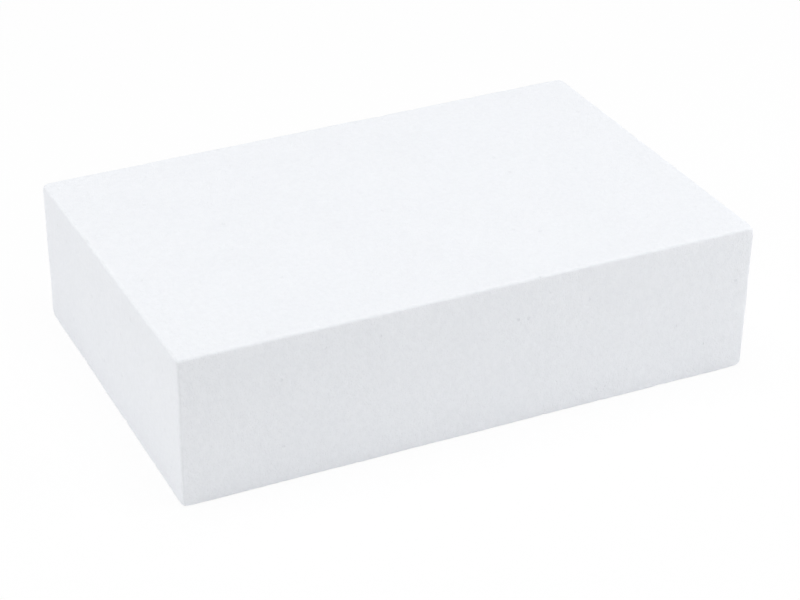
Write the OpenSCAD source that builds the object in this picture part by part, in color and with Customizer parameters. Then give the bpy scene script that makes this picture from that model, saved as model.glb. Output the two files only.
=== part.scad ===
// Melamine sponge: one block of fine open-celled foam, cut square on all six sides.
//
// Millimetres. +X runs along the block, +Y across it and +Z up.
// The origin is the middle of the large face that the block lies on.

/* [Block] */
// Length of the block, along X
block_length = 115; // [60:1:200]
// Width of the block, along Y
block_width = 75; // [40:1:140]
// Thickness of the block, along Z
block_thickness = 30; // [12:0.5:80]

/* [Edges] */
// Radius to which the knife-cut edges of the soft foam settle
edge_radius = 0.5; // [0.2:0.1:5]

/* [Finish] */
// Colour of the foam
foam_colour = "GhostWhite"; // [GhostWhite, WhiteSmoke, LightGray, DimGray]

/* [Hidden] */
// Sides of each drawn circle
$fn = 64;

// A rectangle of the given sides, centred on the origin, with its four corners rounded to radius.
module rounded_rectangle(sides, radius) {
    corner = sides / 2 - [radius, radius];
    square([sides.x, 2 * corner.y], center = true);
    square([2 * corner.x, sides.y], center = true);
    for (x = [-corner.x, corner.x], y = [-corner.y, corner.y])
        translate([x, y])
            circle(radius);
}

// A block of the given sides, centred on the origin, with its twelve edges rounded to radius.
// It is what three crossing bars share: one bar along each axis, with the block's own outline
// seen along that axis as its section. Each bar rounds the four edges that run its way.
module eased_block(sides, radius) {
    intersection() {
        linear_extrude(sides.z, center = true)
            rounded_rectangle([sides.x, sides.y], radius);
        rotate([90, 0, 0])
            linear_extrude(sides.y, center = true)
                rounded_rectangle([sides.x, sides.z], radius);
        rotate([90, 0, 90])
            linear_extrude(sides.x, center = true)
                rounded_rectangle([sides.y, sides.z], radius);
    }
}

// The whole sponge, lying on one of its two large faces.
module sponge_block() {
    color(foam_colour)
        translate([0, 0, block_thickness / 2])
            eased_block([block_length, block_width, block_thickness], edge_radius);
}

sponge_block();
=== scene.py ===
"""A melamine sponge: one block of fine white foam, with its cut faces, eased edges and open cells.

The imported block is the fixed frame. Everything is in metres, in the block's own frame: +X along the
block, +Y across it, and +Z up from the face that it lies on.
"""

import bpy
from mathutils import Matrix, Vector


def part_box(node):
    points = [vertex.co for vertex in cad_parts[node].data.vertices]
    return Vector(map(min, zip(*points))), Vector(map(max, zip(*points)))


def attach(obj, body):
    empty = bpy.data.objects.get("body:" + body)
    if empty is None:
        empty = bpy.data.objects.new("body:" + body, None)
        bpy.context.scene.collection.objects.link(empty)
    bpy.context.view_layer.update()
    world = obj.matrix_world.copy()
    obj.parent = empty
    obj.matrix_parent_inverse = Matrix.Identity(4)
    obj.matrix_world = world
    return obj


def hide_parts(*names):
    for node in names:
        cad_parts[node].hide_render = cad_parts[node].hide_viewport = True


bl_info = {
    "name": "Melamine Sponge",
    "version": (1, 0, 0),
    "blender": (4, 5, 0),
    "location": "View3D > Sidebar > Sponge",
    "description": "A white foam block with eased edges, pits and open cells, on a pale studio floor",
    "category": "Add Mesh",
}

from math import cos, pi, radians, sin, sqrt

import bpy
import numpy as np
from bpy.props import FloatProperty, FloatVectorProperty, IntProperty, PointerProperty
from mathutils import Vector

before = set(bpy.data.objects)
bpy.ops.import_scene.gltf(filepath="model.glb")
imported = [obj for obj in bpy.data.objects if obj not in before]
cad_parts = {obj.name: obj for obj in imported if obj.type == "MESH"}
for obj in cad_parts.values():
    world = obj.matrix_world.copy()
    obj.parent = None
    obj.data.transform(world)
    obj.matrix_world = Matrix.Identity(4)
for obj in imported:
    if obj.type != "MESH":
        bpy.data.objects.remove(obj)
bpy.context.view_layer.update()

BLOCK_NODE = "sponge_block"
WHITE = (1.0, 1.0, 1.0, 1.0)
# Name of the flat layout of the six sides, on which finishes can be baked, and the gap between sides
SHEET_MAP = "OFBake"
SHEET_GAP = 0.002
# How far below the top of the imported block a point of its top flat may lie
TOP_SLACK = 1e-6
# How many waves are summed for slow unevenness and for fine grain
SLOW_WAVES = 40
GRAIN_WAVES = 64
# Shares of the given length between which a wave's own length is drawn
WAVE_SHARES = (0.7, 1.4)
# How many spreads a sum of waves is lowered by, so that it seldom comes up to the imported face
WAVE_DROP = 2
# Shares of the largest hollow between which a hollow's own size is drawn
HOLLOW_SHARES = (0.45, 1.0)
# Share of the crumble depth to which an edge is worn on average, and the spread of that share
CRUMBLE_SHARE = 0.5
CRUMBLE_SPREAD = 0.25
# How far on an edge a point has to be to hold a nick, where its middle is 1
NICK_ON_EDGE = 0.9
# Detail of the noises for clumps and clouds, and the values of a noise between which they come up
CLUMP_DETAIL = 4.0
CLOUD_DETAIL = 3.0
NOISE_SPAN = (0.3, 0.7)
# Reach of a cell's mouth from its middle, in cell sizes
MOUTH_REACH = 0.6
# Depth of a pore, where a cell's mouth is 1 deep and a coarse clump another 1
PORE_DEPTH = 3.0
# Height of the relief for each 1 of depth, so that a mouth in a coarse clump is one relief deep
HEIGHT_OF_DEPTH = -0.5
# Roughness between the mouths of the cells and in their middles, and the weak gloss of the foam
WALL_ROUGHNESS = 0.88
MOUTH_ROUGHNESS = 1.0
FOAM_GLOSS = 0.15
# Width of the camera's sensor in millimetres
SENSOR_WIDTH = 36.0
# Soft panels round the block: azimuth and elevation in degrees, then distance and side in metres
HIGH_PANEL = (0, 90, 0.7, 0.6)
LEFT_PANEL = (-100, 20, 0.6, 0.4)
RIGHT_PANEL = (60, 20, 0.6, 0.4)

block_low, block_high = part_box(BLOCK_NODE)
block_centre = (block_low + block_high) / 2
block_half = np.array((block_high - block_low) / 2)


def packed_edge_radius():
    """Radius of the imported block's rounded edges: how far its top flat stops short of its end."""
    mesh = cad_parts[BLOCK_NODE].data
    places = np.empty(3 * len(mesh.vertices), np.float32)
    mesh.vertices.foreach_get("co", places)
    places = places.reshape(-1, 3)
    on_top = places[:, 2] > block_high.z - TOP_SLACK
    return float(block_high.x - places[on_top, 0].max())


# Settings


class SpongeFoamSettings(bpy.types.PropertyGroup):
    """Sizes and colours of the foam block."""

    edge_radius: FloatProperty(
        name="Edge radius",
        description="Radius to which the cut edges of the soft foam settle",
        default=packed_edge_radius(),
        precision=5,
        unit="LENGTH",
    )
    end_cut_back: FloatProperty(
        name="End cut back",
        description="How far the end at +X is cut short, away from its top front corner",
        default=0.00055,
        precision=5,
        unit="LENGTH",
    )
    corner_cut_back: FloatProperty(
        name="Corner cut back",
        description="How far the end at -X is cut short at its top front corner",
        default=0.0003,
        precision=5,
        unit="LENGTH",
    )
    corner_drop: FloatProperty(
        name="Corner drop",
        description="How far the top falls short of square at its back corner at -X",
        default=0.0007,
        precision=5,
        unit="LENGTH",
    )
    grid_step: FloatProperty(
        name="Grid step",
        description="Spacing of the mesh over the flat faces",
        default=0.00057,
        precision=5,
        unit="LENGTH",
    )
    arc_steps: IntProperty(
        name="Arc steps",
        description="Steps from a flat face to the middle of a rounded edge",
        default=4,
    )
    seed: IntProperty(
        name="Seed",
        description="Start of the random draws for waves, pits and nicks",
        default=7,
    )
    wave_depth: FloatProperty(
        name="Wave depth",
        description="Spread of the slow waves that the long knife leaves on a face",
        default=0.00002,
        precision=6,
        unit="LENGTH",
    )
    wave_length: FloatProperty(
        name="Wave length",
        description="Length of the slow waves on a face",
        default=0.014,
        unit="LENGTH",
    )
    grain_depth: FloatProperty(
        name="Grain depth",
        description="Spread of the fine unevenness where cells are cut open",
        default=0.000008,
        precision=6,
        unit="LENGTH",
    )
    grain_length: FloatProperty(
        name="Grain length",
        description="Length of the fine unevenness",
        default=0.0018,
        precision=5,
        unit="LENGTH",
    )
    crumble_depth: FloatProperty(
        name="Crumble depth",
        description="How far the edges are worn back at most by crumbled cells",
        default=0.000045,
        precision=6,
        unit="LENGTH",
    )
    crumble_length: FloatProperty(
        name="Crumble length",
        description="Length of the worn stretches along an edge",
        default=0.0045,
        precision=5,
        unit="LENGTH",
    )
    corner_depth: FloatProperty(
        name="Corner depth",
        description="How far the eight corners would be worn back along their diagonals, if sharp",
        default=0.0005,
        precision=5,
        unit="LENGTH",
    )
    corner_reach: FloatProperty(
        name="Corner reach",
        description="How far from a sharp corner the wear reaches",
        default=0.0016,
        precision=5,
        unit="LENGTH",
    )
    pit_count: IntProperty(
        name="Pits",
        description="Number of small open hollows on the flat faces",
        default=40,
    )
    pit_radius: FloatProperty(
        name="Pit radius",
        description="Radius of the largest pits",
        default=0.001,
        precision=5,
        unit="LENGTH",
    )
    pit_depth: FloatProperty(
        name="Pit depth",
        description="Depth of the largest pits",
        default=0.00012,
        precision=6,
        unit="LENGTH",
    )
    nick_count: IntProperty(
        name="Nicks",
        description="Number of small nicks along the edges",
        default=40,
    )
    nick_radius: FloatProperty(
        name="Nick radius",
        description="Radius of the largest nicks",
        default=0.0012,
        precision=5,
        unit="LENGTH",
    )
    nick_depth: FloatProperty(
        name="Nick depth",
        description="Depth of the largest nicks",
        default=0.00015,
        precision=6,
        unit="LENGTH",
    )
    foam_colour: FloatVectorProperty(
        name="Foam colour",
        description="Colour of the foam",
        default=(0.913, 0.932, 0.975),
        subtype="COLOR",
        min=0.0,
        max=1.0,
    )
    # Painted shade: the colour towards which the foam is darkened in the hollows of its cells, clumps and
    # pores, standing in for the light lost in them
    cavity_shade_colour: FloatVectorProperty(
        name="Cavity shade colour",
        description="Colour deep in the mouths of the open cells, where less light gets out",
        default=(0.76, 0.776, 0.818),
        subtype="COLOR",
        min=0.0,
        max=1.0,
    )
    cell_size: FloatProperty(
        name="Cell size",
        description="Size of the open cells that show as grain",
        default=0.00035,
        precision=5,
        unit="LENGTH",
    )
    # Painted shade in the hollow middles of the open cells
    cell_shade: FloatProperty(
        name="Cell shade",
        description="How far the mouths of the cells go towards the cavity shade colour",
        default=0.12,
        subtype="FACTOR",
        min=0.0,
        max=1.0,
    )
    clump_size: FloatProperty(
        name="Clump size",
        description="Size of the clumps of finer and coarser cells",
        default=0.001,
        precision=5,
        unit="LENGTH",
    )
    # Painted shade in the coarser, deeper clumps of cells
    clump_shade: FloatProperty(
        name="Clump shade",
        description="How far the coarser clumps go towards the cavity shade colour",
        default=0.12,
        subtype="FACTOR",
        min=0.0,
        max=1.0,
    )
    cloud_size: FloatProperty(
        name="Cloud size",
        description="Size of the faint lighter and darker clouds in the foam",
        default=0.018,
        unit="LENGTH",
    )
    # The clouds are the foam's own faint tone, which varies at random; their darker end uses the cavity
    # shade colour
    cloud_tone: FloatProperty(
        name="Cloud tone",
        description="How far the darker clouds go towards the cavity shade colour",
        default=0.06,
        subtype="FACTOR",
        min=0.0,
        max=1.0,
    )
    pore_spacing: FloatProperty(
        name="Pore spacing",
        description="Spacing of the places where a larger pore may lie",
        default=0.0021,
        precision=5,
        unit="LENGTH",
    )
    pore_share: FloatProperty(
        name="Pore share",
        description="Share of those places that have an open pore",
        default=0.15,
        subtype="FACTOR",
        min=0.0,
        max=1.0,
    )
    pore_radius: FloatProperty(
        name="Pore radius",
        description="Radius of the largest pores",
        default=0.0005,
        precision=5,
        unit="LENGTH",
    )
    # Painted shade in the larger pores
    pore_shade: FloatProperty(
        name="Pore shade",
        description="How far the pores go towards the cavity shade colour",
        default=0.2,
        subtype="FACTOR",
        min=0.0,
        max=1.0,
    )
    cell_relief: FloatProperty(
        name="Cell relief",
        description="Height of the fine relief of cells, clumps and pores",
        default=0.00006,
        precision=6,
        unit="LENGTH",
    )
    glow_depth: FloatProperty(
        name="Glow depth",
        description="How far light wanders inside the foam before it comes out",
        default=0.0008,
        precision=5,
        unit="LENGTH",
    )
    glow_share: FloatProperty(
        name="Glow share",
        description="Share of the light that wanders inside the foam",
        default=0.3,
        subtype="FACTOR",
        min=0.0,
        max=1.0,
    )


class SpongeStageSettings(bpy.types.PropertyGroup):
    """Floor, light and camera."""

    floor_size: FloatProperty(
        name="Floor size",
        description="Side of the square floor",
        default=6.0,
        unit="LENGTH",
    )
    floor_colour: FloatVectorProperty(
        name="Floor colour",
        description="Colour of the floor",
        default=(0.97, 0.97, 0.97),
        subtype="COLOR",
        min=0.0,
        max=1.0,
    )
    floor_white: FloatProperty(
        name="Floor white",
        description="Share of plain white in the floor as it is seen, the rest being its lit colour",
        default=0.9,
        subtype="FACTOR",
        min=0.0,
        max=1.0,
    )
    sky_strength: FloatProperty(
        name="Sky strength",
        description="Brightness of the even light from all round, where 1 is white",
        default=0.45,
    )
    high_strength: FloatProperty(
        name="High strength",
        description="Brightness of the panel high over the block, where 1 is white",
        default=2.16,
    )
    left_strength: FloatProperty(
        name="Left strength",
        description="Brightness of the panel behind and left of the block, where 1 is white",
        default=1.44,
    )
    right_strength: FloatProperty(
        name="Right strength",
        description="Brightness of the panel in front and right of the block, where 1 is white",
        default=1.99,
    )
    camera_azimuth: FloatProperty(
        name="Camera azimuth",
        description="Turn of the camera round the block, from the front towards +X",
        default=radians(-24.957),
        subtype="ANGLE",
    )
    camera_elevation: FloatProperty(
        name="Camera elevation",
        description="Angle of the camera above the horizon",
        default=radians(29.67),
        subtype="ANGLE",
    )
    camera_distance: FloatProperty(
        name="Camera distance",
        description="Distance of the camera from the point that it looks at",
        default=0.43547,
        unit="LENGTH",
    )
    camera_lens: FloatProperty(
        name="Camera lens",
        description=f"Focal length on a sensor {SENSOR_WIDTH:.0f} mm wide",
        default=103.42,
        unit="CAMERA",
    )
    camera_aim: FloatVectorProperty(
        name="Camera aim",
        description="Point that the camera looks at, from the middle of the block",
        default=(-0.0031, -0.01053, 0.0),
        subtype="XYZ",
        unit="LENGTH",
    )


# Shape of the foam block


def stations(half, radius, step, arc_steps):
    """Places along one axis where the block's lattice is cut, from one end to the other.

    The flat is cut into even steps. Past it come the tangents of even angles up to 45 degrees,
    times the edge radius, so that a rounded edge is cut into equal arcs.
    """
    flat = half - radius
    middle = np.linspace(-flat, flat, round(2 * flat / step) + 1)
    rim = flat + radius * np.tan(np.linspace(0, pi / 4, arc_steps + 1)[1:])
    return np.concatenate([-rim[::-1], middle, rim])


def lattice_sides(counts):
    """Quads over the six outer sides of a lattice, as node numbers, in the order -X +X -Y +Y -Z +Z.

    The two axes across a side are taken in the order X, Y, Z, X, which makes the quads of a high
    side face outwards. Those of a low side are turned round.
    """
    numbers = np.arange(np.prod(counts)).reshape(counts)
    sides = []
    for axis in range(3):
        for end in (0, -1):
            nodes = numbers.take(end, axis)
            if axis == 1:
                nodes = nodes.T
            corners = (nodes[:-1, :-1], nodes[1:, :-1], nodes[1:, 1:], nodes[:-1, 1:])
            quads = np.stack(corners, axis=-1).reshape(-1, 4)
            sides.append(quads if end else quads[:, ::-1])
    return sides


def eased(sharp, half, radius):
    """Points of the eased block and their outward directions, from points on its sharp box.

    A sharp point is clamped to the inner box, which stops short of the sharp one by the radius. The
    eased point lies one radius from there, towards the sharp point: flats stay flat, edges become
    quarter rounds and corners become parts of a ball.
    """
    inner = half - radius
    core = np.clip(sharp, -inner, inner)
    outward = sharp - core
    outward /= np.linalg.norm(outward, axis=1, keepdims=True)
    return core + radius * outward, outward


def waves(points, length, draw, count=SLOW_WAVES):
    """Smooth random heights about 0, with a spread of about 1.

    Many cosine waves of about the given length, each with its own heading and phase, are summed and
    divided by the root of half their count.
    """
    heading = draw.normal(size=(3, count))
    heading /= np.linalg.norm(heading, axis=0)
    heading *= 2 * pi / (length * draw.uniform(*WAVE_SHARES, count))
    phase = draw.uniform(0, 2 * pi, count)
    return np.cos(points @ heading + phase).sum(axis=1) / sqrt(count / 2)


def hollows(points, centres, radius, depth, draw):
    """Depth of round hollows of mixed sizes about the given centres.

    Each hollow is a random share of the largest. Inside its radius it is as deep as its own depth
    times the square of one less the square of distance over radius. Where two meet, the deeper holds.
    """
    sunk = np.zeros(len(points))
    for centre, share in zip(centres, draw.uniform(*HOLLOW_SHARES, len(centres))):
        squared_distance = ((points - centre) ** 2).sum(axis=1)
        inside = np.clip(1 - squared_distance / (share * radius) ** 2, 0, None)
        np.maximum(sunk, share * depth * inside**2, out=sunk)
    return sunk


def foam_depth(points, outward, foam):
    """How far each point of the eased block is sunk below it.

    It is the sum of slow knife waves, fine grain, worn stretches on the edges, and the deeper of
    pits on the flats and nicks on the edges. How far a point is on an edge is twice one less the
    sum of the fourth powers of its outward direction: 0 on a flat, 1 in the middle of an edge, and a
    third more in the middle of a corner. On a straight edge one part of that direction is 0, and at
    a corner none is.
    """
    draw = np.random.default_rng(foam.seed)
    on_edge = 2 * (1 - (outward**4).sum(axis=1))
    slow = foam.wave_depth * (WAVE_DROP + waves(points, foam.wave_length, draw))
    fine = foam.grain_depth * (WAVE_DROP + waves(points, foam.grain_length, draw, GRAIN_WAVES))
    crumbled = CRUMBLE_SHARE + CRUMBLE_SPREAD * waves(points, foam.crumble_length, draw)
    worn = foam.crumble_depth * on_edge * np.clip(crumbled, 0, 1)
    flat_points = points[on_edge == 0]
    pit_places = flat_points[draw.choice(len(flat_points), foam.pit_count)]
    pits = hollows(points, pit_places, foam.pit_radius, foam.pit_depth, draw)
    straight = (outward == 0).any(axis=1)
    edge_points = points[straight & (on_edge > NICK_ON_EDGE)]
    nick_places = edge_points[draw.choice(len(edge_points), foam.nick_count)]
    nicks = hollows(points, nick_places, foam.nick_radius, foam.nick_depth, draw)
    return np.clip(slow + fine + worn, 0, None) + np.maximum(pits, nicks)


def corners_worn(points, half, foam):
    """Points of the block with its eight corners worn round.

    A point moves inwards along the diagonal of its corner, by the corner depth times the square of
    one less its distance from the sharp corner over the corner reach, or not at all past the reach.
    """
    inward = -np.sign(points) / sqrt(3)
    distance = np.linalg.norm(half - np.abs(points), axis=1, keepdims=True)
    nearness = np.clip(1 - distance / foam.corner_reach, 0, None)
    return points + foam.corner_depth * nearness**2 * inward


def cut_askew(points, half, foam):
    """Points of the block as it was cut, a little out of square but nowhere past its box.

    Shares run from 0 to 1 across the block. The end at +X is cut back by its amount times the right
    share times one less front share times top share, so only its top front corner is full length.
    The top front corner at -X is cut back by its amount times the left, front and top shares, and
    the top falls by its amount times the left, back and top shares.
    """
    right, back, top = (points / (2 * half) + 0.5).T
    askew = points.copy()
    askew[:, 0] -= foam.end_cut_back * right * (1 - (1 - back) * top)
    askew[:, 0] += foam.corner_cut_back * (1 - right) * (1 - back) * top
    askew[:, 2] -= foam.corner_drop * (1 - right) * back * top
    return askew


def sheet_layout(sharp, sides, quads, half):
    """Places of every quad corner on one flat sheet that holds the six sides apart, from 0 to 1.

    A side keeps its two axes in the order X, Y, Z, X, and a low side is mirrored so that it reads
    from outside. The two large sides are stacked, the long sides stand beside them and the short
    sides lie above.
    """
    gap = SHEET_GAP
    length, width, height = 2 * half
    row_two = width + gap
    row_three = 2 * row_two
    starts = [
        (0, row_three),
        (width + gap, row_three),
        (length + gap, 0),
        (length + height + 2 * gap, 0),
        (0, row_two),
        (0, 0),
    ]
    sheet = max(length + 2 * height + 2 * gap, row_three + height) + 2 * gap
    layout = []
    first = 0
    for number, (side, start) in enumerate(zip(sides, starts)):
        axis = number // 2
        across = [(axis + 1) % 3, (axis + 2) % 3]
        corners = sharp[quads[first : first + len(side)].reshape(-1)][:, across]
        if number % 2 == 0:
            corners[:, 0] *= -1
        layout.append((corners + half[across] + start + gap) / sheet)
        first += len(side)
    return np.concatenate(layout)


def foam_block_mesh(foam):
    """Mesh of the whole foam block.

    A lattice over the box is eased, sunk along its outward directions, worn at its corners and cut
    askew, in that order.
    """
    radius = foam.edge_radius
    rows = [stations(half, radius, foam.grid_step, foam.arc_steps) for half in block_half]
    sides = lattice_sides([len(row) for row in rows])
    used, quads = np.unique(np.concatenate(sides), return_inverse=True)
    quads = quads.reshape(-1, 4)
    sharp = np.stack(np.meshgrid(*rows, indexing="ij"), axis=-1).reshape(-1, 3)[used]
    points, outward = eased(sharp, block_half, radius)
    points = points - outward * foam_depth(points, outward, foam)[:, None]
    points = corners_worn(points, block_half, foam)
    points = cut_askew(points, block_half, foam) + block_centre
    mesh = bpy.data.meshes.new("foam_block")
    mesh.from_pydata(points, [], quads, shade_flat=False)
    layer = mesh.uv_layers.new(name=SHEET_MAP)
    layout = sheet_layout(sharp, sides, quads, block_half)
    layer.uv.foreach_set("vector", layout.astype(np.float32).ravel())
    return mesh


# Materials


def add_node(tree, kind, inputs=None, **settings):
    """Adds a shader node with its own settings. An input is given as a value or as a socket to link."""
    node = tree.nodes.new(kind)
    for name, value in settings.items():
        setattr(node, name, value)
    for name, value in (inputs or {}).items():
        if isinstance(value, bpy.types.NodeSocket):
            tree.links.new(value, node.inputs[name])
        else:
            node.inputs[name].default_value = value
    return node


def add_smooth_step(tree, value, low, high, out_low=0.0, out_high=1.0):
    """Smooth step of a value: out_low up to low, out_high from high on."""
    step = add_node(
        tree,
        "ShaderNodeMapRange",
        {"Value": value, "From Min": low, "From Max": high, "To Min": out_low, "To Max": out_high},
        interpolation_type="SMOOTHSTEP",
    )
    return step.outputs["Result"]


def add_maths(tree, operation, *values):
    """One step of arithmetic on values or sockets."""
    step = add_node(tree, "ShaderNodeMath", dict(enumerate(values)), operation=operation)
    return step.outputs["Value"]


def add_noise(tree, place, size, detail):
    """Soft random noise with lumps of a size."""
    return add_node(tree, "ShaderNodeTexNoise", {"Vector": place, "Scale": 1 / size, "Detail": detail})


def add_colour_mix(tree, share, first, second):
    """A blend from one colour to another by a share.

    A Mix node has sockets of one name for each kind of value, so its colours go by their numbers.
    """
    inputs = {0: share, 6: (*first, 1.0), 7: (*second, 1.0)}
    mix = add_node(tree, "ShaderNodeMix", inputs, data_type="RGBA")
    return mix.outputs[2]


def add_pores(tree, place, pushed_by, foam):
    """Mask of the larger pores: 1 inside a pore, 0 outside.

    Pores may lie at the points of a cell pattern whose places a noise pushes about, so that their
    rims are ragged. Each point draws a lot, and the lot sets how wide its pore is, if it has one.
    """
    push = (foam.clump_size,) * 3
    ragged = add_node(
        tree,
        "ShaderNodeVectorMath",
        {0: pushed_by, 1: push, 2: place},
        operation="MULTIPLY_ADD",
    )
    spots = add_node(
        tree,
        "ShaderNodeTexVoronoi",
        {"Vector": ragged.outputs["Vector"], "Scale": 1 / foam.pore_spacing},
    )
    lot = add_node(tree, "ShaderNodeSeparateColor", {"Color": spots.outputs["Color"]}).outputs["Red"]
    widest = foam.pore_radius / foam.pore_spacing
    width = add_smooth_step(tree, lot, 1 - foam.pore_share, 1.0, 0.0, widest)
    inside = add_maths(tree, "SUBTRACT", width, spots.outputs["Distance"])
    return add_smooth_step(tree, inside, 0.0, widest / 2)


def foam_material(foam):
    """Open-celled melamine foam: matte white with fine cells in clumps, a few pores and faint clouds,
    with painted shade in the cell mouths, the coarser clumps and the pores.
    """
    material = bpy.data.materials.new("melamine_foam")
    material.use_nodes = True
    tree = material.node_tree
    surface = tree.nodes["Principled BSDF"]
    place = add_node(tree, "ShaderNodeTexCoord").outputs["Object"]
    cells = add_node(tree, "ShaderNodeTexVoronoi", {"Vector": place, "Scale": 1 / foam.cell_size})
    clumps = add_noise(tree, place, foam.clump_size, CLUMP_DETAIL)
    clouds = add_noise(tree, place, foam.cloud_size, CLOUD_DETAIL)
    # A cell's mouth is deepest at its middle.
    mouth = add_smooth_step(tree, cells.outputs["Distance"], 0.0, MOUTH_REACH, 1.0, 0.0)
    clump = add_smooth_step(tree, clumps.outputs["Fac"], *NOISE_SPAN)
    cloud = add_smooth_step(tree, clouds.outputs["Fac"], *NOISE_SPAN)
    pore = add_pores(tree, place, clumps.outputs["Color"], foam)
    # Painted shade: the base colour is darkened in the cell mouths, the coarser clumps and the pores,
    # where their hollows lose light, and the faint clouds add the foam's own random tone
    painted_shade_and_tone = add_maths(tree, "MULTIPLY", mouth, foam.cell_shade)
    painted_shade_and_tone = add_maths(tree, "MULTIPLY_ADD", clump, foam.clump_shade, painted_shade_and_tone)
    painted_shade_and_tone = add_maths(tree, "MULTIPLY_ADD", cloud, foam.cloud_tone, painted_shade_and_tone)
    painted_shade_and_tone = add_maths(tree, "MULTIPLY_ADD", pore, foam.pore_shade, painted_shade_and_tone)
    colour = add_colour_mix(tree, painted_shade_and_tone, foam.foam_colour, foam.cavity_shade_colour)
    tree.links.new(colour, surface.inputs["Base Color"])
    roughness = add_smooth_step(tree, mouth, 0.0, 1.0, WALL_ROUGHNESS, MOUTH_ROUGHNESS)
    tree.links.new(roughness, surface.inputs["Roughness"])
    cell_depth = add_maths(tree, "ADD", mouth, clump)
    pore_depth = add_maths(tree, "MULTIPLY", pore, PORE_DEPTH)
    depth = add_maths(tree, "MAXIMUM", cell_depth, pore_depth)
    height = add_maths(tree, "MULTIPLY", depth, HEIGHT_OF_DEPTH)
    bump = add_node(tree, "ShaderNodeBump", {"Height": height, "Distance": foam.cell_relief})
    tree.links.new(bump.outputs["Normal"], surface.inputs["Normal"])
    surface.inputs["Specular IOR Level"].default_value = FOAM_GLOSS
    surface.inputs["Subsurface Weight"].default_value = foam.glow_share
    # Light of every colour wanders equally far.
    surface.inputs["Subsurface Radius"].default_value = (1.0, 1.0, 1.0)
    surface.inputs["Subsurface Scale"].default_value = foam.glow_depth
    return material


def add_seen_share(tree):
    """1 for a ray that comes from the camera, a gloss or glass, and 0 for one that gathers light."""
    path = add_node(tree, "ShaderNodeLightPath")
    seen = add_maths(tree, "MAXIMUM", path.outputs["Is Camera Ray"], path.outputs["Is Glossy Ray"])
    return add_maths(tree, "MAXIMUM", seen, path.outputs["Is Transmission Ray"])


def floor_material(stage):
    """Pale floor that takes the block's shadow and is seen brighter than it is lit, towards white."""
    material = bpy.data.materials.new("studio_floor")
    material.use_nodes = True
    tree = material.node_tree
    lit = tree.nodes["Principled BSDF"]
    lit.inputs["Base Color"].default_value = (*stage.floor_colour, 1.0)
    lit.inputs["Roughness"].default_value = 1.0
    lit.inputs["Specular IOR Level"].default_value = 0.0
    white = add_node(tree, "ShaderNodeEmission", {"Color": WHITE, "Strength": 1.0})
    share = add_maths(tree, "MULTIPLY", add_seen_share(tree), stage.floor_white)
    mix = add_node(
        tree,
        "ShaderNodeMixShader",
        {0: share, 1: lit.outputs["BSDF"], 2: white.outputs["Emission"]},
    )
    tree.links.new(mix.outputs["Shader"], tree.nodes["Material Output"].inputs["Surface"])
    return material


# Stage


def studio_world(stage):
    """Even white light from all round, seen as plain white."""
    world = bpy.data.worlds.new("studio_sky")
    world.use_nodes = True
    tree = world.node_tree
    light = tree.nodes["Background"]
    light.inputs["Color"].default_value = WHITE
    light.inputs["Strength"].default_value = stage.sky_strength
    white = add_node(tree, "ShaderNodeBackground", {"Color": WHITE, "Strength": 1.0})
    mix = add_node(
        tree,
        "ShaderNodeMixShader",
        {0: add_seen_share(tree), 1: light.outputs["Background"], 2: white.outputs["Background"]},
    )
    tree.links.new(mix.outputs["Shader"], tree.nodes["World Output"].inputs["Surface"])
    bpy.context.scene.world = world


def direction(azimuth, elevation):
    """Unit vector from the block towards an azimuth, from the front towards +X, and an elevation."""
    level = cos(elevation)
    return Vector((sin(azimuth) * level, -cos(azimuth) * level, sin(elevation)))


def add_panel(name, azimuth, elevation, distance, side, strength):
    """Square soft light that faces the block.

    Its power is pi times its area times its strength, so that at strength 1 it is as bright as white.
    """
    light = bpy.data.lights.new(name, "AREA")
    light.shape = "SQUARE"
    light.size = side
    light.energy = strength * pi * side**2
    panel = bpy.data.objects.new(name, light)
    towards = direction(radians(azimuth), radians(elevation))
    panel.location = block_centre + distance * towards
    panel.rotation_euler = towards.to_track_quat("Z", "Y").to_euler()
    bpy.context.scene.collection.objects.link(panel)


def add_floor(stage):
    """Flat square floor at the height that the block rests on."""
    half = stage.floor_size / 2
    height = block_low.z
    corners = [(-half, -half, height), (half, -half, height), (half, half, height), (-half, half, height)]
    mesh = bpy.data.meshes.new("studio_floor")
    mesh.from_pydata(corners, [], [(0, 1, 2, 3)])
    mesh.materials.append(floor_material(stage))
    floor = bpy.data.objects.new("studio_floor", mesh)
    bpy.context.scene.collection.objects.link(floor)


def add_camera(stage):
    """Camera at the photograph's viewing angle."""
    data = bpy.data.cameras.new("studio_camera")
    data.sensor_width = SENSOR_WIDTH
    data.lens = stage.camera_lens
    camera = bpy.data.objects.new("studio_camera", data)
    back = direction(stage.camera_azimuth, stage.camera_elevation)
    camera.location = block_centre + Vector(stage.camera_aim) + stage.camera_distance * back
    camera.rotation_euler = back.to_track_quat("Z", "Y").to_euler()
    bpy.context.scene.collection.objects.link(camera)
    bpy.context.scene.camera = camera


# Operators and panel


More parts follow.
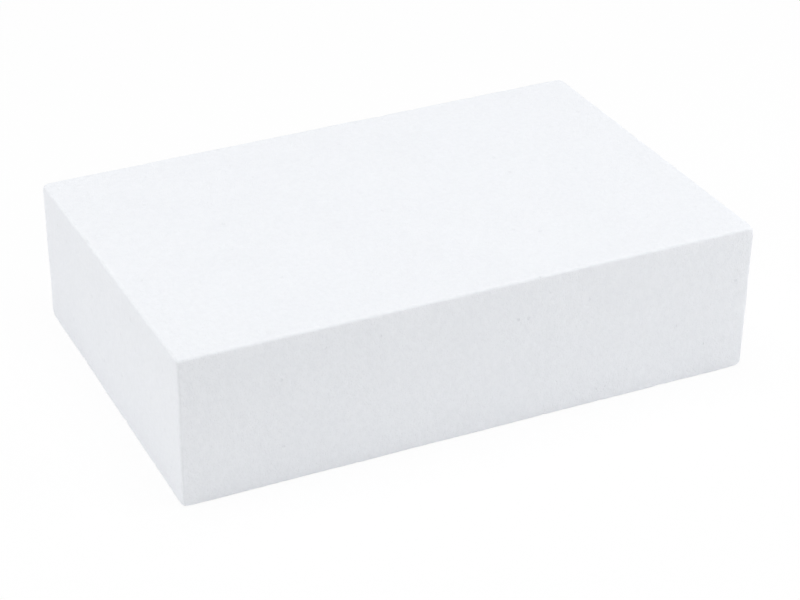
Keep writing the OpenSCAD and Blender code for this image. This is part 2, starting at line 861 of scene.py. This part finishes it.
class SPONGE_OT_foam_block(bpy.types.Operator):
    """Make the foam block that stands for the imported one"""

    bl_idname = "sponge.foam_block"
    bl_label = "Foam Block"

    def execute(self, context):
        foam = context.scene.sponge_foam
        mesh = foam_block_mesh(foam)
        mesh.materials.append(foam_material(foam))
        block = bpy.data.objects.new("foam_block", mesh)
        context.scene.collection.objects.link(block)
        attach(block, "root")
        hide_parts(BLOCK_NODE)
        return {"FINISHED"}


class SPONGE_OT_stage(bpy.types.Operator):
    """Make the floor, the light and the camera"""

    bl_idname = "sponge.stage"
    bl_label = "Stage"

    def execute(self, context):
        stage = context.scene.sponge_stage
        add_camera(stage)
        add_floor(stage)
        studio_world(stage)
        add_panel("high_panel", *HIGH_PANEL, stage.high_strength)
        add_panel("left_panel", *LEFT_PANEL, stage.left_strength)
        add_panel("right_panel", *RIGHT_PANEL, stage.right_strength)
        context.scene.view_settings.view_transform = "Standard"
        return {"FINISHED"}


class SPONGE_PT_sidebar(bpy.types.Panel):
    """Sizes, colours and operators of the sponge"""

    bl_idname = "SPONGE_PT_sidebar"
    bl_label = "Melamine Sponge"
    bl_space_type = "VIEW_3D"
    bl_region_type = "UI"
    bl_category = "Sponge"

    def draw(self, context):
        for settings, operator in (
            (context.scene.sponge_foam, SPONGE_OT_foam_block),
            (context.scene.sponge_stage, SPONGE_OT_stage),
        ):
            box = self.layout.box()
            for name in settings.__annotations__:
                box.prop(settings, name)
            box.operator(operator.bl_idname)


CLASSES = (
    SpongeFoamSettings,
    SpongeStageSettings,
    SPONGE_OT_foam_block,
    SPONGE_OT_stage,
    SPONGE_PT_sidebar,
)


def register():
    """Registers the classes and hangs the settings on the scene."""
    for each in CLASSES:
        bpy.utils.register_class(each)
    bpy.types.Scene.sponge_foam = PointerProperty(type=SpongeFoamSettings)
    bpy.types.Scene.sponge_stage = PointerProperty(type=SpongeStageSettings)


def unregister():
    """Takes the settings and the classes away again."""
    del bpy.types.Scene.sponge_stage
    del bpy.types.Scene.sponge_foam
    for each in reversed(CLASSES):
        bpy.utils.unregister_class(each)


def main():
    """Makes the foam block and the stage."""
    register()
    bpy.ops.sponge.foam_block()
    bpy.ops.sponge.stage()


if __name__ == "__main__":
    main()
